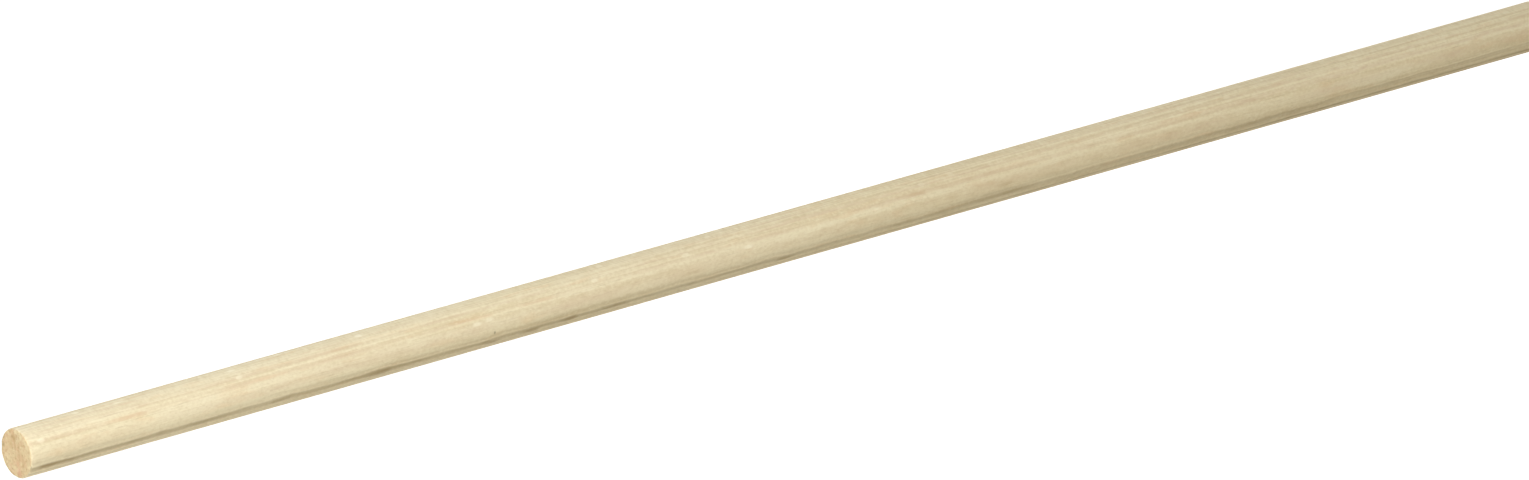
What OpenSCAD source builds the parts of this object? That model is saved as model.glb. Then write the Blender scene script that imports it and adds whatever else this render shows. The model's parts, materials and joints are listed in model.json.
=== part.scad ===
// Wooden dowel rod
//
// One straight round bar of pale hardwood. Both ends are sawn square, and the
// sharp edge of each end face is eased to a small quarter round, as a light
// touch of abrasive leaves it.
//
// The rod's axis lies along +X. The origin is the centre of the near end face,
// so the rod runs from x = 0 to x = rod_len.

/* [Rod] */

// Diameter of the rod, a quarter of an inch
rod_d = 6.35; // [3:0.05:50]

// Length from end face to end face, twelve inches
rod_len = 304.8; // [50:0.1:2400]

/* [Eased edges] */

// Radius of the round on the near end's edge
near_edge_r = 0.25; // [0.1:0.05:1.4]

// Radius of the round on the far end's edge
far_edge_r = 0.25; // [0.1:0.05:1.4]

/* [Hidden] */

// Facets in a full turn, for the preview
$fn = 96;

// Largest share of the rod's radius that an eased edge may take
edge_share_max = 0.9;

// How far a cutter's blank runs past the corner that it takes away
overcut = 1;

// Radius of the rod
rod_r = rod_d / 2;

// Radii of the two rounds, limited by the rod itself
near_r = min(near_edge_r, edge_share_max * rod_r);
far_r = min(far_edge_r, edge_share_max * rod_r);

// Every piece by name, and the one to draw

// What a quarter-round cutter of radius r takes off a square corner. The corner
// is at the origin and the stock fills the quadrant where x and y are negative.
module corner_waste(r)
{
    difference()
    {
        translate([-r, -r]) square(r + overcut);
        translate([-r, -r]) circle(r);
    }
}

// Half of the rod's lengthwise section: x is the distance from the axis and y
// the distance along it, with both outer corners rounded.
module half_section()
{
    difference()
    {
        square([rod_r, rod_len]);
        translate([rod_r, rod_len]) corner_waste(far_r);
        translate([rod_r, 0]) mirror([0, 1]) corner_waste(near_r);
    }
}

// The rod: its half section turned about the axis, then laid along +X.
module dowel_rod()
{
    color("#E8DBB8")
    rotate([0, 90, 0])
    rotate_extrude()
    half_section();
}

dowel_rod();
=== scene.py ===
# %% [markdown]
# # A hardwood dowel rod
#
# A dowel rod is one straight stick of hardwood. A square blank is pushed through a ring of
# spinning knives that leaves it round, it is sanded lengthwise and sawn to length. Nothing is
# added to it, so everything that the eye reads comes from the wood: the growth rings that run
# along it, the fibres, and the rougher, darker end grain where the saw crossed them.
#
# The lesson builds one mesh with true end faces and eased edges, and one material that is solid:
# it is worked out in the wood's own three dimensions, so side grain and end grain belong to the
# same growth rings.

# %% Load the frame
import json
import math

import bmesh
import bpy
from mathutils import Matrix, Vector, noise


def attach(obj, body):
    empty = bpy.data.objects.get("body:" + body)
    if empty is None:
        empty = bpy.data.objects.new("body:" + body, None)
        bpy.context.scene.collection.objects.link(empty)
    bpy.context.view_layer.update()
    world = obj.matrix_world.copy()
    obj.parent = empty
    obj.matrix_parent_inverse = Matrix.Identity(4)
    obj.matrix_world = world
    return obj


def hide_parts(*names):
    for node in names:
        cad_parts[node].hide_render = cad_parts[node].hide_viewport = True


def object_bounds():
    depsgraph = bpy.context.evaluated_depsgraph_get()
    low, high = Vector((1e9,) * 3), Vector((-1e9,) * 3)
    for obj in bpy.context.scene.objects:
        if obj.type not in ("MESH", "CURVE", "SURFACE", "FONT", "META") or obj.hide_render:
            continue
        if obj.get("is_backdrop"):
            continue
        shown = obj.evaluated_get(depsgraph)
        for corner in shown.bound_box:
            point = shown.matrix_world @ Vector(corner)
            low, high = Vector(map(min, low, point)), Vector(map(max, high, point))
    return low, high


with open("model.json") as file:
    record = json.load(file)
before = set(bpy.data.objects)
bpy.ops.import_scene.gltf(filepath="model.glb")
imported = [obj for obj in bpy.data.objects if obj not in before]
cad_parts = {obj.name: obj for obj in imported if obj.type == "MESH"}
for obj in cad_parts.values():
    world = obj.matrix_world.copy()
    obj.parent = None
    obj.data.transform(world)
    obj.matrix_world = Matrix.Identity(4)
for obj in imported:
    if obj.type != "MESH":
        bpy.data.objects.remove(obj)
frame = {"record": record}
cad_low, cad_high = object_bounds()
print("CAD box", [round(v, 5) for v in (*cad_low, *cad_high)], "m")

# %% [markdown]
# ## Sizes
#
# The rod's size is already settled in the frame, so it is read from there and not typed again.
# The round mount gives the radius and the length of the true cylinder. What is left over at each
# end is the eased edge. Blender's unit here is the metre, and wood is thought of in millimetres,
# so one value turns one into the other.

# %% The rod's own sizes
MM = 0.001
mounts = {m["name"]: m for m in frame["record"]["mounts"]}
rod_r = mounts["rod_surface"]["dims"]["r_mm"] * MM
rod_len = cad_high.x - cad_low.x
edge_r = (rod_len - mounts["rod_surface"]["dims"]["length_mm"] * MM) / 2
print(f"radius {rod_r / MM:.3f} mm, length {rod_len / MM:.1f} mm, eased edge {edge_r / MM:.2f} mm")

# %% [markdown]
# ## Camera
#
# A product picture of a long thin thing is taken from far off with a long lens, so that it
# hardly narrows towards its far end. The camera is placed by what it sees: the centre of the
# near end face falls on a chosen point of the picture, at a chosen depth. Working back from that
# point is steadier than moving a camera by eye, because a long lens shows less than a quarter of
# a metre here.

# %% Work out the camera's place
PICTURE_PX = (1529, 480)
NEAR_END_PX = (16.0, 453.6)
AZIMUTH = math.radians(-38.89)
ELEVATION = math.radians(20.48)
LENS_MM = 471.3
SENSOR_MM = 36.0
DIAMETERS_AWAY = 385.0

near_depth = DIAMETERS_AWAY * 2 * rod_r
back = Vector((math.sin(AZIMUTH) * math.cos(ELEVATION),
               -math.cos(AZIMUTH) * math.cos(ELEVATION),
               math.sin(ELEVATION)))
right = Vector((0, 0, 1)).cross(back).normalized()
up = back.cross(right)
metres_per_px = near_depth * SENSOR_MM / LENS_MM / PICTURE_PX[0]
across = (NEAR_END_PX[0] - PICTURE_PX[0] / 2) * metres_per_px
above = (PICTURE_PX[1] / 2 - NEAR_END_PX[1]) * metres_per_px
print(f"near end {near_depth:.2f} m deep, {metres_per_px / MM:.3f} mm to a pixel")

# %% Place the camera
camera = bpy.data.objects.new("camera", bpy.data.cameras.new("camera"))
bpy.context.scene.collection.objects.link(camera)
bpy.context.scene.camera = camera
camera.data.lens = LENS_MM
camera.data.sensor_width = SENSOR_MM
camera.data.clip_start = 0.1
camera.data.clip_end = 100
camera.location = back * near_depth - right * across - up * above
camera.rotation_mode = "QUATERNION"
camera.rotation_quaternion = (-back).to_track_quat("-Z", "Y")
print("camera at", [round(v, 3) for v in camera.location], "m")

# %% [markdown]
# ## The rod's mesh
#
# A plain cylinder would give the right outline and nothing else. A real rod shows three more
# things. Its rim is eased by a quarter round, so light catches it. The sawn face isn't a mirror:
# the saw tears soft wood out between harder lines. And the round itself wavers by a few
# hundredths of a millimetre, because the knives cut wood that gives. All three are shape, so
# they are made in the mesh: a circle is drawn out into a tube, capped, its rims bevelled, its
# length cut into rings and its end faces inset, and then every vertex is moved a little.

# %% Draw the circle out and cap it
SIDES = 144

rod_mesh = bmesh.new()
bmesh.ops.create_circle(rod_mesh, cap_ends=False, segments=SIDES, radius=rod_r)
bmesh.ops.rotate(rod_mesh, verts=rod_mesh.verts, cent=(0, 0, 0),
                 matrix=Matrix.Rotation(math.radians(90), 3, "Y"))
near_rim = list(rod_mesh.edges)
drawn = bmesh.ops.extrude_edge_only(rod_mesh, edges=near_rim)["geom"]
far_verts = [g for g in drawn if isinstance(g, bmesh.types.BMVert)]
far_rim = [g for g in drawn if isinstance(g, bmesh.types.BMEdge)]
bmesh.ops.translate(rod_mesh, verts=far_verts, vec=(rod_len, 0, 0))
for rim in (near_rim, far_rim):
    bmesh.ops.contextual_create(rod_mesh, geom=rim)
print("capped tube:", len(rod_mesh.faces), "faces")

# %% Ease both rims and cut the length into rings
EDGE_SEGMENTS = 4
STRIPS = 4
CUTS_PER_STRIP = 56

bmesh.ops.bevel(rod_mesh, geom=near_rim + far_rim, offset=edge_r, offset_type="OFFSET",
                segments=EDGE_SEGMENTS, profile=0.5, material=-1, affect="EDGES")
lengthwise = [e for e in rod_mesh.edges if e.calc_length() > rod_len / 2]
bmesh.ops.subdivide_edges(rod_mesh, edges=lengthwise, cuts=STRIPS * CUTS_PER_STRIP - 1,
                          use_grid_fill=True)
print("eased and cut:", len(rod_mesh.faces), "faces")

# %% Inset the end faces
FACE_RINGS = 20
face_ring = (rod_r - edge_r) / (FACE_RINGS + 0.5)
for _ in range(FACE_RINGS):
    caps = [f for f in rod_mesh.faces if len(f.verts) == SIDES]
    bmesh.ops.inset_individual(rod_mesh, faces=caps, thickness=face_ring,
                               use_even_offset=True)
bmesh.ops.poke(rod_mesh, faces=[f for f in rod_mesh.faces if len(f.verts) == SIDES])
bmesh.ops.recalc_face_normals(rod_mesh, faces=rod_mesh.faces)
print("with end rings:", len(rod_mesh.faces), "faces")

# %% [markdown]
# ## A flat layout for the finish
#
# When the rod leaves Blender its finish is painted onto one square picture. A stick this thin
# would use a sliver of it, so the skin is laid out the way veneer is packed in a box: the round
# side is slit along its hidden back and cut across into four lengths that lie one above the
# other, and the two end faces go beside them. Every part keeps the same scale.

# %% Measure the sheet
SLIT = Vector((0, 1, -0.4)).normalized()
SHEET_GAP = 1.0 * MM

strip_len = (rod_len - 2 * edge_r) / STRIPS
girth = 2 * math.pi * rod_r
sheet_w = strip_len + edge_r + 2 * rod_r + 3 * SHEET_GAP
sheet_h = STRIPS * (girth + SHEET_GAP) + SHEET_GAP
sheet = max(sheet_w, sheet_h)
print(f"layout sheet {sheet / MM:.1f} mm square, in {STRIPS} strips of {strip_len / MM:.1f} mm")


# %% Find a place on the unrolled skin
def unrolled_x(x):
    """The distance along the rod, measured round the eased edges and not straight across them."""
    for rim, inward in ((0, 1), (rod_len, -1)):
        reach = max((x - rim) * inward, 0)
        if reach < edge_r:
            round_turn = math.acos(1 - reach / edge_r)
            return rim + inward * edge_r * (1 - math.pi / 2 + round_turn)
    return x


def turn_from_slit(place):
    """How far round the rod a place lies from the slit, from 0 to 1."""
    beside = Vector((0, -SLIT.z, SLIT.y))
    return math.atan2(place.dot(beside), place.dot(SLIT)) / (2 * math.pi) % 1


print(f"the near rim unrolls to {unrolled_x(0) / MM:.2f} mm")

# %% Lay the skin out
END_FACING = 0.999

layout = rod_mesh.loops.layers.uv.new("OFBake")
for face in rod_mesh.faces:
    middle = face.calc_center_median()
    if abs(face.normal.x) > END_FACING:
        far = middle.x > rod_len / 2
        corner_x = strip_len + 2 * edge_r + 2 * SHEET_GAP + rod_r
        corner_y = SHEET_GAP + rod_r + far * (2 * rod_r + SHEET_GAP)
        for loop in face.loops:
            place = Vector((corner_x + loop.vert.co.y, corner_y + loop.vert.co.z))
            loop[layout].uv = place / sheet
        continue
    strip = min(STRIPS - 1, max(0, int((middle.x - edge_r) / strip_len)))
    turn = turn_from_slit(middle)
    for loop in face.loops:
        own = turn_from_slit(loop.vert.co)
        own += round(turn - own)
        place = Vector((unrolled_x(loop.vert.co.x) - edge_r - strip * strip_len,
                        own * girth + strip * (girth + SHEET_GAP)))
        loop[layout].uv = (place + Vector((edge_r + SHEET_GAP, SHEET_GAP))) / sheet
print("laid out", len(rod_mesh.faces), "faces")

# %% [markdown]
# ## The shape that the tools left
#
# Three small wanderings turn the perfect form into a sawn and sanded one. The round side wavers
# slowly, as a blank does when the knives pull at it. The end face is torn to a few hundredths
# of a millimetre, deeper in some patches than in others. The rim is chipped a little where
# the saw broke out. A Displace modifier could do one of them. Moving each vertex by smooth noise
# does all three, each in its own direction, and always the same way on each run.

# %% Move the vertices
SIDE_WAVER = 0.010 * MM
WAVER_LENGTH = 11 * MM
TEAR_DEPTH = 0.035 * MM
TEAR_SIZE = 0.55 * MM
TEAR_FRACTAL = (1.0, 2.0, 3)  # how fast finer tears fade, how much finer each is, how many
CHIP_DEPTH = 0.045 * MM
CHIP_SIZE = 0.9 * MM
CHIP_REACH = 1.5 * edge_r
CHIP_NOISE_AT = Vector((7, 3, 5))  # keeps the chips' noise away from that of the tears

for vert in rod_mesh.verts:
    place = vert.co.copy()
    outward = Vector((0, place.y, place.z))
    radius = outward.length
    end_x = min(place.x, rod_len - place.x)
    inward = 1 if place.x < rod_len / 2 else -1
    waver = noise.noise(Vector((place.x / WAVER_LENGTH, place.y / rod_r, place.z / rod_r)))
    if radius > rod_r / 2:
        vert.co += outward.normalized() * SIDE_WAVER * waver
    if end_x < edge_r:
        tear = noise.fractal(place / TEAR_SIZE, *TEAR_FRACTAL)
        vert.co.x += inward * TEAR_DEPTH * (0.5 + 0.5 * tear)
    if end_x < edge_r and radius > rod_r - CHIP_REACH:
        chip = max(0, noise.noise(place / CHIP_SIZE + CHIP_NOISE_AT))
        vert.co += (Vector((inward, 0, 0)) - outward.normalized()) * CHIP_DEPTH * chip
print("moved", len(rod_mesh.verts), "vertices")

# %% Make the object
rod_data = bpy.data.meshes.new("rod")
rod_mesh.to_mesh(rod_data)
rod_mesh.free()
rod_data.shade_smooth()
rod = bpy.data.objects.new("rod", rod_data)
bpy.context.scene.collection.objects.link(rod)
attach(rod, "root")
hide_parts("dowel_rod")
print("rod:", sum(len(p.vertices) - 2 for p in rod_data.polygons), "triangles")

# %% [markdown]
# ## Bare birch
#
# Birch is pale, cream to straw coloured, and even: its pores are too fine to see one by one, so
# what shows is a soft lengthwise figure. A solid material suits it best. The pattern is worked
# out from where a point lies in the log, not from where it lies on the surface, so a growth ring
# that shows as a streak along the side shows again as a line across the sawn end.
#
# Two helpers come first. Colours are written as sRGB hex values, as a paint program shows them,
# and a shader wants them linear. The other helper adds a node with its settings and links.

# %% Two helpers for materials
NODE = "ShaderNode"


def linear(hex_colour):
    """An sRGB hex colour as the linear numbers that a shader works with."""
    parts = [int(hex_colour[i:i + 2], 16) / 255 for i in (1, 3, 5)]
    return (*[c / 12.92 if c <= 0.04045 else ((c + 0.055) / 1.055) ** 2.4 for c in parts], 1)


def add(tree, kind, inputs=(), **settings):
    """Adds a node, sets its properties, and fills its inputs with values, sockets or nodes."""
    made = tree.nodes.new(NODE + kind)
    for name, value in settings.items():
        setattr(made, name, value)
    usable = [s for s in made.inputs if s.enabled]
    for key, value in dict(inputs).items():
        socket = usable[key] if isinstance(key, int) else next(s for s in usable if s.name == key)
        if isinstance(value, bpy.types.Node):
            value = next(s for s in value.outputs if s.enabled)
        if isinstance(value, bpy.types.NodeSocket):
            tree.links.new(value, socket)
        else:
            socket.default_value = value
    return made


print("mid grey as linear numbers:", [round(c, 3) for c in linear("#808080")])

# %% [markdown]
# ### Where a point lies in the log
#
# The nodes work in millimetres. The first axis runs along the grain. The blank was sawn from the
# log at no special angle, so a Mapping node turns the other two: the third then points from the
# pith towards the bark, and the second runs along the growth rings. What changes along the rod
# reads one more value, which runs from 0 at the near end to 1 at the far one.

# %% The log's axes
BARK_SIDE = Vector((0, -0.9938, 0.1115))

birch = bpy.data.materials.new("bare_birch")
birch.use_nodes = True
tree = birch.node_tree
tree.nodes.clear()
coords = add(tree, "TexCoord")
bark_turn = math.atan2(BARK_SIDE.y, BARK_SIDE.z)
log = add(tree, "Mapping", {"Vector": coords.outputs["Object"], "Rotation": (bark_turn, 0, 0),
                            "Scale": (1 / MM, 1 / MM, 1 / MM)})
log_axes = add(tree, "SeparateXYZ", {0: log})
along, around, to_bark = log_axes.outputs
towards_far_end = add(tree, "MapRange", {"Value": along, "From Max": rod_len / MM})
print(f"the bark side lies {math.degrees(bark_turn):.0f} degrees round the rod")

# %% [markdown]
# ### Noise for every size of figure
#
# Wood is made of long thin cells, so each pattern in it is noise that is stretched along the
# grain. What differs is the size, in millimetres, along the grain, round the rings and towards
# the bark, and how rough the noise is. Rays are the exception: these ribbons of cells run
# from the pith outwards, so they are widest in that direction, and where the surface cuts along
# them they shimmer across the grain. Real birch fibres are about 0.02 mm across, far too
# fine to show: they are drawn six times as coarse, as the bundles that sanding brings up.

# %% Stretched noises
# Each has its length, width and thickness in millimetres, and its detail.
PATTERNS = {
    "drift": (55, 12, 12, 0),
    "waver": (5, 2.2, 2.2, 2),
    "strength": (11, 3, 1.2, 2),
    "shade": (30, 2.5, 2.5, 1),
    "mottle": (2.6, 0.9, 0.9, 2),
    "blush": (5, 1.4, 0.5, 2),
    "blotch": (2.6, 0.8, 0.5, 2),
    "fibre": (7, 0.12, 0.12, 2),
    "vessel": (2.4, 0.09, 0.09, 1),
    "ray": (0.42, 0.26, 1.3, 1),
    "nap": (0.5, 0.25, 0.25, 2),
}
NOISE_STEP = 7.3  # in the fourth dimension, so that no two noises are alike

noises = {}
for number, (name, (length, width, thick, detail)) in enumerate(PATTERNS.items()):
    stretched = add(tree, "VectorMath", {0: log, 1: (length, width, thick)}, operation="DIVIDE")
    noises[name] = add(tree, "TexNoise", {"Vector": stretched, "W": NOISE_STEP * number,
                                          "Scale": 1, "Detail": detail}, noise_dimensions="4D")
print(len(noises), "stretched noises")

# %% [markdown]
# ### Growth rings
#
# A growth ring is a shell round the pith. A Wave texture could draw such shells, but all of one
# width, and good and bad years leave wide and narrow rings. So each ring here has a depth of its
# own. Within a piece this thin the shells are almost flat, so the depth towards the bark is
# enough, with four small changes: it bends round the pith, drifts slowly, ripples, and shifts
# towards the far end. Low on the front the ripple is wilder, and only there do the lines climb.
#
# One Map Range node for each ring goes from 0 to 1 as the depth passes through it. Their sum
# counts the rings, and its fraction says how far through one a point lies. Each ring starts, on
# its bark side, with a thin dense line, and fades inwards from it. Inside a ring lie finer
# layers: long noise that is squeezed flat in the same bent depth.

# %% Measure the depth in the log
PITH_FROM_AXIS = 45.0
SLOW_WANDER = 0.07
CALM_RIPPLE = 0.10
WILD_RIPPLE = 0.28
FAR_CLIMB = -0.23

low_side = add(tree, "MapRange", {"Value": around, "From Min": -0.4, "From Max": -1.2})
ripple = add(tree, "MapRange", {"Value": low_side, "To Min": CALM_RIPPLE, "To Max": WILD_RIPPLE})
bend = add(tree, "Math", {0: around, 1: around}, operation="MULTIPLY")
slow_drift = add(tree, "Math", {0: 0.5, 1: noises["drift"]}, operation="SUBTRACT")
small_waver = add(tree, "Math", {0: noises["waver"], 1: 0.5}, operation="SUBTRACT")
climb = add(tree, "MapRange", {"Value": towards_far_end, "From Min": 0.40, "From Max": 0.80,
                               "To Max": FAR_CLIMB})
depth = to_bark
for amount, weight in ((bend, 1 / (2 * PITH_FROM_AXIS)), (slow_drift, SLOW_WANDER),
                       (small_waver, ripple), (climb, low_side)):
    depth = add(tree, "Math", {0: amount, 1: weight, 2: depth}, operation="MULTIPLY_ADD")
sagitta = (rod_r / MM) ** 2 / (2 * PITH_FROM_AXIS)
print(f"the rings bend by {sagitta:.2f} mm within the rod")

# %% Count the rings
# Millimetres from the rod's axis towards the bark, from the outermost line inwards
RING_LINES = (4.00, 3.32, 2.81, 2.22, 1.45, 0.70, -0.05, -0.72, -1.50, -2.10, -2.85, -3.60)

ring = 0
for outer, inner in zip(RING_LINES, RING_LINES[1:]):
    passed = add(tree, "MapRange", {"Value": depth, "From Min": outer, "From Max": inner})
    ring = add(tree, "Math", {0: passed, 1: ring}, operation="ADD")
through_ring = add(tree, "Math", {0: ring}, operation="FRACT")
widths = [outer - inner for outer, inner in zip(RING_LINES, RING_LINES[1:])]
print(f"{len(widths)} rings, {min(widths):.2f} to {max(widths):.2f} mm wide")

# %% Draw one ring's profile
# How far through the ring, and how dark it is there
RING_PROFILE = ((0.0, 1.0), (0.15, 0.95), (0.36, 0.48), (0.58, 0.14), (0.77, 0.04), (1.0, 1.0))

ring_line = add(tree, "ValToRGB", {0: through_ring})
stops = ring_line.color_ramp.elements
while len(stops) < len(RING_PROFILE):
    stops.new(0.5)
for stop, (position, dark) in zip(stops, RING_PROFILE):
    stop.position = position
    stop.color = (dark, dark, dark, 1)
print("ring profile:", len(stops), "stops")

# %% Squeeze the finer layers
LAYER = (45, 5, 0.21)

layer_at = add(tree, "CombineXYZ", {0: along, 1: around, 2: depth})
layer_at = add(tree, "VectorMath", {0: layer_at, 1: LAYER}, operation="DIVIDE")
noises["layer"] = add(tree, "TexNoise", {"Vector": layer_at, "Scale": 1, "Detail": 1})
print(f"finer layers {LAYER[-1]} mm thick")

# %% [markdown]
# ### The side grain's colour
#
# The plain colour is that of sanded birch, a little warmer towards the far end. Each noise then
# tints it a little: layers and mottling make it paler or warmer, and the fibre bundles and
# vessels leave fine darker dashes. A Map Range node turns a noise into the share of the tint,
# and a Mix node lays it on.
#
# The ring lines come last. Their strength changes along the grain and swells in short blotches.
# They fade out low on the front, where a darker stain takes over, and again near the top.

# %% Tint the plain wood
SANDED_BIRCH = "#E6DAB9"
WARMER_END = "#E7D7AD"
# Each has its noise, the noise's value where the tint starts and where it is full, and its share
TONES = (
    ("shade", 0.45, 0.66, "#DCCCA0", 0.32),
    ("layer", 0.50, 0.66, "#D0BC90", 0.34),
    ("layer", 0.50, 0.34, "#F2E8C5", 0.46),
    ("mottle", 0.50, 0.70, "#EEE4C0", 0.36),
    ("blush", 0.56, 0.72, "#E2C090", 0.30),
    ("ray", 0.52, 0.72, "#F2E9C8", 0.40),
    ("ray", 0.48, 0.30, "#CDBC8E", 0.26),
    ("fibre", 0.54, 0.76, "#BFAA7A", 0.26),
    ("vessel", 0.66, 0.76, "#A9916A", 0.30),
)

side = add(tree, "Mix", {"Factor": towards_far_end, "A": linear(SANDED_BIRCH),
                         "B": linear(WARMER_END)}, data_type="RGBA")
for name, low, high, tint, most in TONES:
    share = add(tree, "MapRange", {"Value": noises[name], "From Min": low, "From Max": high,
                                   "To Max": most})
    side = add(tree, "Mix", {"Factor": share, "A": side, "B": linear(tint)}, data_type="RGBA")
print(len(TONES), "tints on plain birch")

# %% Lay the ring lines over it
LINE_TINT = "#D0B591"
FAINTEST_LINE = 0.10
STRONGEST_LINE = 0.56
BLOTCH_SHARE = 0.36

blotches = add(tree, "MapRange", {"Value": noises["blotch"], "From Min": 0.55, "From Max": 0.72,
                                  "To Max": BLOTCH_SHARE})
line_strength = add(tree, "MapRange", {"Value": noises["strength"], "From Min": 0.42,
                                       "From Max": 0.66, "To Min": FAINTEST_LINE,
                                       "To Max": STRONGEST_LINE})
line_strength = add(tree, "Math", {0: blotches, 1: line_strength}, operation="ADD")
high_side = add(tree, "MapRange", {"Value": around, "From Min": -1.0, "From Max": 0.3})
below_top = add(tree, "MapRange", {"Value": around, "From Min": 3.3, "From Max": 2.5})
line_share = ring_line
for limit in (line_strength, high_side, below_top):
    line_share = add(tree, "Math", {0: line_share, 1: limit}, operation="MULTIPLY")
side = add(tree, "Mix", {"Factor": line_share, "A": side, "B": linear(LINE_TINT)},
           data_type="RGBA")
print(f"ring lines at {FAINTEST_LINE} to {STRONGEST_LINE + BLOTCH_SHARE:.2f} of their tint")

# %% [markdown]
# ### The mineral streak
#
# Birch often carries dark streaks, where the tree drew minerals into its dense late wood. This
# rod has them low on its front, on one side only, and they are no more than a skin: where the
# saw and the eased rim cut it away, paler wood shows. A dark band could be painted on, but it
# would lie across the grain's ripples. Staining the ring lines that are already there keeps it
# in the wood. The first line fades along the rod, while the next one down grows, and short
# blotches of both are darkest.
#
# Two fainter marks go with them, and both are painted shade. Broken ripples of painted shade follow
# a line just under the surface, low on the front. The bottom of the rod is darkened all over with
# painted shade, apart from the stretch next to the sawn end.

# %% Stain the ring lines near the surface
STREAK_SKIN = 0.20

patchy = add(tree, "MapRange", {"Value": noises["strength"], "From Min": 0.34, "From Max": 0.64,
                                "To Min": 0.50, "To Max": 0.95})
fading = add(tree, "MapRange", {"Value": towards_far_end, "To Min": 0.95, "To Max": 0.10})
growing = add(tree, "MapRange", {"Value": towards_far_end, "From Min": 0.36, "From Max": 0.75,
                                 "To Min": 0.18})
second_line = add(tree, "MapRange", {"Value": around, "From Min": -1.9, "From Max": -2.25})
lasting = add(tree, "Mix", {"Factor": second_line, "A": fading, "B": growing})
across_grain = add(tree, "VectorMath", {0: log, 1: (0, 1, 1)}, operation="MULTIPLY")
from_axis = add(tree, "VectorMath", {0: across_grain}, operation="LENGTH")
in_skin = add(tree, "MapRange", {"Value": from_axis, "From Min": rod_r / MM - STREAK_SKIN,
                                 "From Max": rod_r / MM - STREAK_SKIN / 2})
streak = ring_line
for limit in (low_side, patchy, in_skin, lasting):
    streak = add(tree, "Math", {0: streak, 1: limit}, operation="MULTIPLY")
darkest = add(tree, "Math", {0: streak, 1: blotches}, operation="MULTIPLY")
print(f"the streak's stain is {STREAK_SKIN} mm deep")

# %% Draw the ripples of painted shade and the painted shade along the bottom
# Depth, half width and share of the line of painted shade ripples.
RIPPLE_SHADE_DEPTH = 3.05
RIPPLE_SHADE_HALF_WIDTH = 0.11
RIPPLE_SHADE_SHARE = 0.3
UNDERSIDE_SHADE_SHARE = 0.18

# Painted shade: broken ripples along a line just under the surface, low on the front.
off_ripple_shade = add(tree, "Math", {0: depth, 1: RIPPLE_SHADE_DEPTH}, operation="SUBTRACT")
off_ripple_shade = add(tree, "Math", {0: off_ripple_shade}, operation="ABSOLUTE")
ripple_shade = add(tree, "MapRange", {"Value": off_ripple_shade, "From Min": RIPPLE_SHADE_HALF_WIDTH,
                                    "From Max": 0.0, "To Max": RIPPLE_SHADE_SHARE},
                 interpolation_type="SMOOTHSTEP")
for limit in (low_side, patchy):
    ripple_shade = add(tree, "Math", {0: ripple_shade, 1: limit}, operation="MULTIPLY")
# Painted shade: the bottom of the rod is darkened, apart from next to the sawn end.
underside_painted_shade = add(tree, "MapRange", {"Value": around, "From Min": -1.7, "From Max": -2.1,
                                   "To Max": UNDERSIDE_SHADE_SHARE})
past_near_end = add(tree, "MapRange", {"Value": towards_far_end, "From Min": 0.05,
                                       "From Max": 0.15})
for limit in (past_near_end, in_skin):
    underside_painted_shade = add(tree, "Math", {0: underside_painted_shade, 1: limit}, operation="MULTIPLY")
# The printed depth is that of the line of painted shade ripples.
print(f"the false ring lies {rod_r / MM - RIPPLE_SHADE_DEPTH:.3f} mm under the surface")

# %% Lay the two stains and the two painted shades on
# One tint for the streak, a broad stain and the painted shade along the bottom.
STREAK_AND_SHADE_TINT = "#A08C61"
DARKEST_TINT = "#86692F"
RIPPLE_SHADE_TINT = "#B5A67C"
# Two stains and two kinds of painted shade, laid on in this order.
STAINS_AND_SHADE = ((underside_painted_shade, STREAK_AND_SHADE_TINT), (ripple_shade, RIPPLE_SHADE_TINT), (streak, STREAK_AND_SHADE_TINT),
          (darkest, DARKEST_TINT))

for share, tint in STAINS_AND_SHADE:
    side = add(tree, "Mix", {"Factor": share, "A": side, "B": linear(tint)}, data_type="RGBA")
print(len(STAINS_AND_SHADE), "stains")

# %% [markdown]
# ### Flecks and marks
#
# Where the growth rings stand upright to the surface a few rays are cut along their whole
# width, and catch the light as cream flecks. A Voronoi pattern puts at most one in each of its
# cells.
#
# Chance doesn't know which marks the eye will look for, so the strongest ones are listed one by one:
# dark knots in the streak, warm patches in the ring lines, broad stains, bright flecks, and a
# speck of bark. A place is given by its distance from the sawn end and its turn round the rod,
# so marks stay on the surface whatever the radius. Marks of one kind share a tint. For each mark
# a Mapping node in texture mode gives the place seen from its centre, measured in its own length
# and width. The nearest mark counts, and noise frays its outline.

# %% Scatter the flecks
FLECK_CELL = (2.4, 1.2, 1.2)
FLECK_TINT = "#FBF4D8"

cells = add(tree, "VectorMath", {0: log, 1: FLECK_CELL}, operation="DIVIDE")
flecks = add(tree, "TexVoronoi", {"Vector": cells, "Scale": 1})
fleck_share = add(tree, "MapRange", {"Value": flecks.outputs["Distance"], "From Min": 0.32,
                                     "From Max": 0.14}, interpolation_type="SMOOTHSTEP")
chosen = add(tree, "SeparateColor", {0: flecks.outputs["Color"]})
chosen = add(tree, "MapRange", {"Value": chosen, "From Min": 0.5, "From Max": 0.9})
upright = add(tree, "MapRange", {"Value": around, "From Min": 0.8, "From Max": 2.2})
fewer = add(tree, "MapRange", {"Value": towards_far_end, "From Max": 0.4, "To Min": 0.9,
                               "To Max": 0.25})
for limit in (chosen, upright, fewer):
    fleck_share = add(tree, "Math", {0: fleck_share, 1: limit}, operation="MULTIPLY")
side = add(tree, "Mix", {"Factor": fleck_share, "A": side, "B": linear(FLECK_TINT)},
           data_type="RGBA")
print("at most one fleck in", FLECK_CELL, "mm")

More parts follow.
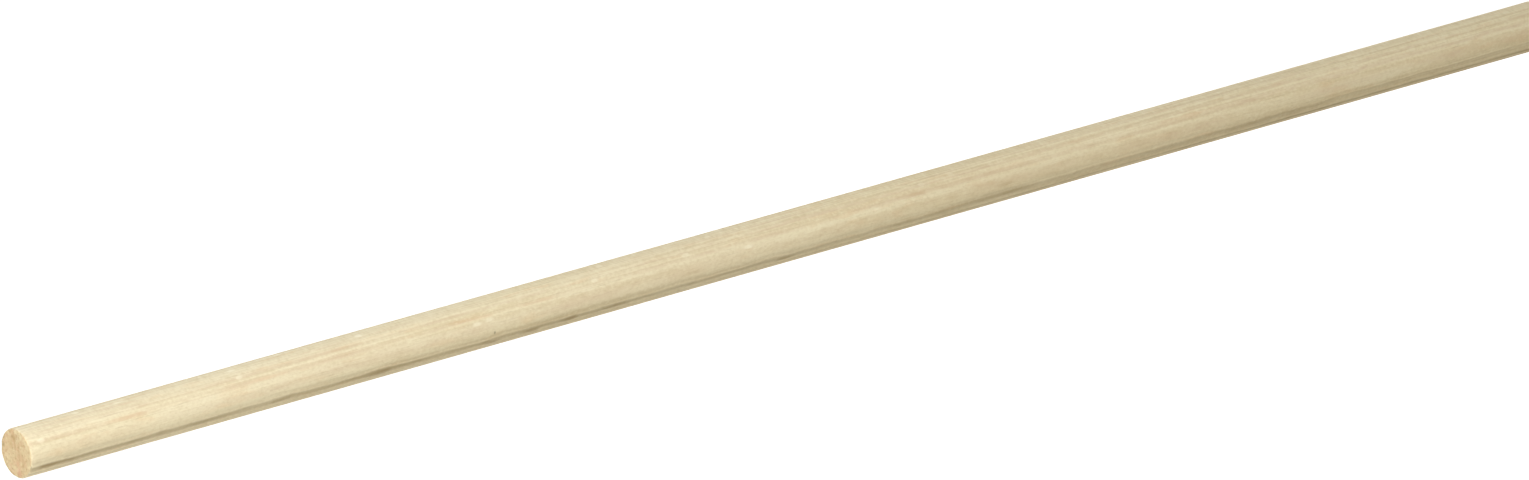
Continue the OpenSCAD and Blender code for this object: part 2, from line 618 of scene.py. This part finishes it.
# %% Choose the marks on the side
# Each kind has a tint, its share, half a mark's length and width in millimetres, and then the
# places: millimetres from the sawn end, and degrees from the top down the front.
SIDE_MARKS = (
    ("#85682F", 0.42, (1.6, 0.32), ((3.0, 116), (38.1, 117), (54.1, 119), (71.9, 122),
                                    (78.0, 120), (84.0, 117), (91.6, 117), (118.5, 118))),
    ("#D9AE7C", 0.22, (3.0, 0.26), ((14.1, 53), (37.1, 53), (68.7, 53), (79.5, 53),
                                    (184.9, 47))),
    ("#B79A63", 0.26, (1.5, 0.26), ((103.0, 87), (145.6, 82), (154.0, 86))),
    ("#C4AE7C", 0.15, (24.0, 2.4), ((153.0, 82),)),
    (STREAK_AND_SHADE_TINT, 0.24, (9.0, 0.45), ((5.0, 133), (153.0, 106), (198.0, 111))),
    (FLECK_TINT, 0.50, (0.6, 0.22), ((15.2, 8), (32.7, 9), (69.3, 66), (71.3, 64),
                                     (112.5, 64), (133.4, 61))),
    ("#75664A", 0.60, (0.13, 0.24), ((71.9, 97),)),
)
print(sum(len(places) for *_, places in SIDE_MARKS), "marks of", len(SIDE_MARKS), "kinds")

# %% Set the marks on the side
# All four are counted in a mark's own half length and half width.
MARK_CORE = 0.2
MARK_RIM = 1.5
FRAYED = 2.4
FAR_OFF = 9.0

for tint, most, (long, wide), places in SIDE_MARKS:
    nearest = FAR_OFF
    for distance, degrees_down in places:
        down = math.radians(degrees_down)
        centre = Vector((distance * MM, -rod_r * math.sin(down), rod_r * math.cos(down)))
        seen_from = add(tree, "Mapping", {"Vector": coords.outputs["Object"], "Location": centre,
                                          "Scale": Vector((long, wide, wide)) * MM},
                        vector_type="TEXTURE")
        away = add(tree, "VectorMath", {0: seen_from}, operation="LENGTH")
        nearest = add(tree, "Math", {0: away, 1: nearest}, operation="MINIMUM")
    nearest = add(tree, "Math", {0: noises["blotch"], 1: -FRAYED, 2: nearest},
                  operation="MULTIPLY_ADD")
    share = add(tree, "MapRange", {"Value": nearest, "From Min": MARK_CORE - FRAYED / 2,
                                   "From Max": MARK_RIM - FRAYED / 2, "To Min": most,
                                   "To Max": 0}, interpolation_type="SMOOTHSTEP")
    side = add(tree, "Mix", {"Factor": share, "A": side, "B": linear(tint)}, data_type="RGBA")
print("side grain:", len(tree.nodes), "nodes")

# %% [markdown]
# ### End grain
#
# The saw cuts the fibres square across, and their open ends drink the light: end grain is darker
# and warmer than side grain, mottled where clumps of fibre tore, and peppered with pores. A
# second material on the end faces could show that, but it would stop dead at the rim and start
# a pattern of its own. So the end grain is mixed into the same material: tones of four sizes, a
# few listed patches, and the same growth rings, which cross it as lines.
#
# The normal tells the two apart. On a sawn face it points along the rod. A little noise makes
# the border between them ragged, as the sanded rim is.

# %% Tint the sawn ends
END_GRAIN = "#E8D4A8"
# Each has its noise's name and size in millimetres, and then what a side tone has
END_TONES = (
    ("clump", 1.5, 0.42, 0.60, "#E0BF94", 0.75),
    ("torn", 0.8, 0.50, 0.66, "#F2E3BA", 0.75),
    ("crumb", 0.48, 0.52, 0.68, "#CCAD7C", 0.65),
    ("pore", 0.20, 0.60, 0.72, "#B89A6A", 0.5),
)
END_NOISE_STEP = 3.1

end = linear(END_GRAIN)
for number, (name, size, low, high, tint, most) in enumerate(END_TONES):
    even = add(tree, "VectorMath", {0: log, 1: (size, size, size)}, operation="DIVIDE")
    noises[name] = add(tree, "TexNoise", {"Vector": even, "W": END_NOISE_STEP * number,
                                          "Scale": 1, "Detail": 2}, noise_dimensions="4D")
    share = add(tree, "MapRange", {"Value": noises[name], "From Min": low, "From Max": high,
                                   "To Max": most})
    end = add(tree, "Mix", {"Factor": share, "A": end, "B": linear(tint)}, data_type="RGBA")
print(len(END_TONES), "tones on the end grain")

# %% Set the marks on the near end
# Each has its place beside and above the axis and its size, in millimetres, its tint and share.
END_MARKS = (
    ((0.37, 1.88), 0.55, "#B98F55", 0.60),
    ((0.79, 2.01), 0.30, "#94713B", 0.55),
    ((2.60, 0.45), 0.45, "#9A8046", 0.60),
    ((1.10, 1.00), 0.70, "#C9A062", 0.45),
    ((-0.63, -2.34), 0.70, "#DFA68C", 0.55),
    ((-0.20, -1.30), 0.90, "#E2B48F", 0.45),
)

for (beside, above_axis), size, tint, most in END_MARKS:
    mark_at = Vector((0, beside, above_axis)) * MM
    reach = add(tree, "VectorMath", {0: coords.outputs["Object"], 1: mark_at}, operation="DISTANCE")
    reach = add(tree, "Math", {0: noises["crumb"], 1: size * MM, 2: reach}, operation="MULTIPLY_ADD")
    share = add(tree, "MapRange", {"Value": reach, "From Min": 0.5 * size * MM,
                                   "From Max": 1.5 * size * MM, "To Min": most, "To Max": 0})
    end = add(tree, "Mix", {"Factor": share, "A": end, "B": linear(tint)}, data_type="RGBA")
print(len(END_MARKS), "marks on the near end")

# %% Draw the rings across the sawn ends
END_LINE_TINT = "#BE9C6A"
END_LINE_SHARE = 0.30

end_line = add(tree, "MapRange", {"Value": noises["strength"], "From Min": 0.45,
                                  "From Max": 0.70, "To Max": END_LINE_SHARE})
end_line = add(tree, "Math", {0: ring_line, 1: end_line}, operation="MULTIPLY")
end = add(tree, "Mix", {"Factor": end_line, "A": end, "B": linear(END_LINE_TINT)},
          data_type="RGBA")
print(f"ring lines at up to {END_LINE_SHARE} of their tint")

# %% Join side and end
RAGGED = 0.4

facing = add(tree, "SeparateXYZ", {0: coords.outputs["Normal"]})
facing = add(tree, "Math", {0: facing}, operation="ABSOLUTE")
ragged = add(tree, "Math", {0: noises["crumb"], 1: RAGGED, 2: facing}, operation="MULTIPLY_ADD")
is_end = add(tree, "MapRange", {"Value": ragged, "From Min": 0.98, "From Max": 1.10},
             interpolation_type="SMOOTHSTEP")
wood = add(tree, "Mix", {"Factor": is_end, "A": side, "B": end}, data_type="RGBA")
print("side and end:", len(tree.nodes), "nodes")

# %% [markdown]
# ### Gloss and relief
#
# Nothing seals the wood, so it is matt. Its relief is far finer than the mesh: fibres and
# vessels lie a little low, rays and the nap that sanding raised a little high, and the sawn ends
# are rougher. Heights are given in millimetres, and the Bump node's distance turns one into the
# frame's unit.

# %% Relief
RELIEF = (("fibre", -0.020), ("vessel", -0.020), ("ray", 0.008), ("nap", 0.012))
END_RELIEF = (("torn", 0.05), ("crumb", 0.05), ("pore", -0.05))

side_height, end_height = 0, 0
for name, tall in RELIEF:
    side_height = add(tree, "Math", {0: noises[name], 1: tall, 2: side_height},
                      operation="MULTIPLY_ADD")
for name, tall in END_RELIEF:
    end_height = add(tree, "Math", {0: noises[name], 1: tall, 2: end_height},
                     operation="MULTIPLY_ADD")
height = add(tree, "Mix", {"Factor": is_end, "A": side_height, "B": end_height})
bump = add(tree, "Bump", {"Strength": 1, "Distance": MM, "Height": height})
print("relief from", len(RELIEF), "noises on the side and", len(END_RELIEF), "on the ends")

# %% Gloss
SIDE_ROUGHNESS = (0.68, 0.80)
END_ROUGHNESS = 0.86
BIRCH_IOR = 1.53

rough = add(tree, "MapRange", {"Value": noises["fibre"], "From Min": 0.35, "From Max": 0.65,
                               "To Min": SIDE_ROUGHNESS[0], "To Max": SIDE_ROUGHNESS[1]})
rough = add(tree, "Mix", {"Factor": is_end, "A": rough, "B": END_ROUGHNESS})
shader = add(tree, "BsdfPrincipled", {"Base Color": wood, "Roughness": rough, "IOR": BIRCH_IOR,
                                      "Normal": bump})
add(tree, "OutputMaterial", {"Surface": shader})
rod_data.materials.append(birch)
print("bare birch:", len(tree.nodes), "nodes")

# %% [markdown]
# ## Floor, lamps and world
#
# The room is plain: a wide pale floor below the rod, and five soft lamps. The key lamp hangs
# near the sawn end, so that light falls off along the rod. A weaker one low in front and a faint
# one at the side lighten the shade, one stands beyond the far end, and a low one lights the back.
#
# Floor and sky should look white, but a room that bright would drown the lamps. The Light Path
# node tells the rays that show in the picture, straight, in gloss or through glass, from those
# that only carry light. To the first kind both are white, and to the others they are dimmer. The
# floor is clear from below, so that the rod can be looked at from there.

# %% Floor
FLOOR_DROP = 0.20
FLOOR_SIZE = 60.0

floor_mesh = bmesh.new()
bmesh.ops.create_grid(floor_mesh, x_segments=1, y_segments=1, size=FLOOR_SIZE / 2)
bmesh.ops.translate(floor_mesh, verts=floor_mesh.verts, vec=(rod_len / 2, 0, -FLOOR_DROP))
floor_data = bpy.data.meshes.new("floor")
floor_mesh.to_mesh(floor_data)
floor_mesh.free()
floor = bpy.data.objects.new("floor", floor_data)
bpy.context.scene.collection.objects.link(floor)
floor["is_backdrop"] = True
print(f"floor {FLOOR_SIZE:.0f} m wide, {FLOOR_DROP} m below the rod's axis")

# %% Floor paint
FLOOR_COLOUR = "#EEE9DF"
FLOOR_GLOW = 0.85


def showing(tree):
    """1 for a ray that shows in the picture, and 0 for one that only carries light."""
    rays = add(tree, "LightPath")
    shows = rays.outputs["Is Camera Ray"]
    for kind in ("Is Glossy Ray", "Is Transmission Ray"):
        shows = add(tree, "Math", {0: shows, 1: rays.outputs[kind]}, operation="MAXIMUM")
    return shows


paint = bpy.data.materials.new("matt_floor_paint")
paint.use_nodes = True
tree = paint.node_tree
tree.nodes.clear()
matt = add(tree, "BsdfDiffuse", {"Color": linear(FLOOR_COLOUR)})
glow_strength = add(tree, "Math", {0: showing(tree), 1: FLOOR_GLOW}, operation="MULTIPLY")
glow = add(tree, "Emission", {"Strength": glow_strength})
top = add(tree, "AddShader", {0: matt, 1: glow})
clear = add(tree, "BsdfTransparent")
underneath = add(tree, "NewGeometry")
both = add(tree, "MixShader", {0: underneath.outputs["Backfacing"], 1: top, 2: clear})
add(tree, "OutputMaterial", {"Surface": both})
floor_data.materials.append(paint)
print("floor paint:", len(tree.nodes), "nodes")

# %% Lamps
# Each has its place and its size in metres, its power in watts, and its colour.
LAMPS = {
    "key": ((-0.143, -0.205, 0.433), 0.25, 2.45, "#FDFDFF"),
    "front": ((-0.268, -0.225, 0.0), 0.30, 0.80, "#FFFCF8"),
    "side": ((0.40, -0.32, 0.15), 0.30, 0.19, "#FFFCF8"),
    "behind": ((0.66, 0.36, 0.10), 0.30, 0.85, "#FFFDF8"),
    "rear": ((0.09, 0.36, -0.02), 0.30, 0.40, "#FFFDF8"),
}
LAMP_AIM = Vector((0.1, 0, 0))

for name, (spot, size, watts, colour) in LAMPS.items():
    data = bpy.data.lights.new(name, "AREA")
    data.size = size
    data.energy = watts
    data.color = linear(colour)[:3]
    lamp = bpy.data.objects.new(name, data)
    bpy.context.scene.collection.objects.link(lamp)
    lamp.location = spot
    lamp.rotation_mode = "QUATERNION"
    lamp.rotation_quaternion = (LAMP_AIM - Vector(spot)).to_track_quat("-Z", "Y")
    lamp.visible_camera = False
print(len(LAMPS), "lamps,", round(sum(watts for _, _, watts, _ in LAMPS.values()), 2), "W in all")

# %% World
WORLD_LEVEL = 0.13

world = bpy.data.worlds.new("room")
bpy.context.scene.world = world
world.use_nodes = True
tree = world.node_tree
tree.nodes.clear()
level = add(tree, "MapRange", {"Value": showing(tree), "To Min": WORLD_LEVEL, "To Max": 1})
sky = add(tree, "Background", {"Strength": level})
add(tree, "OutputWorld", {"Surface": sky})
bpy.context.scene.view_settings.view_transform = "Standard"
print(f"the sky gives {WORLD_LEVEL} of the light that it shows")

low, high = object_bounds()
print("visual box", [round(v, 5) for v in (*low, *high)], "m")
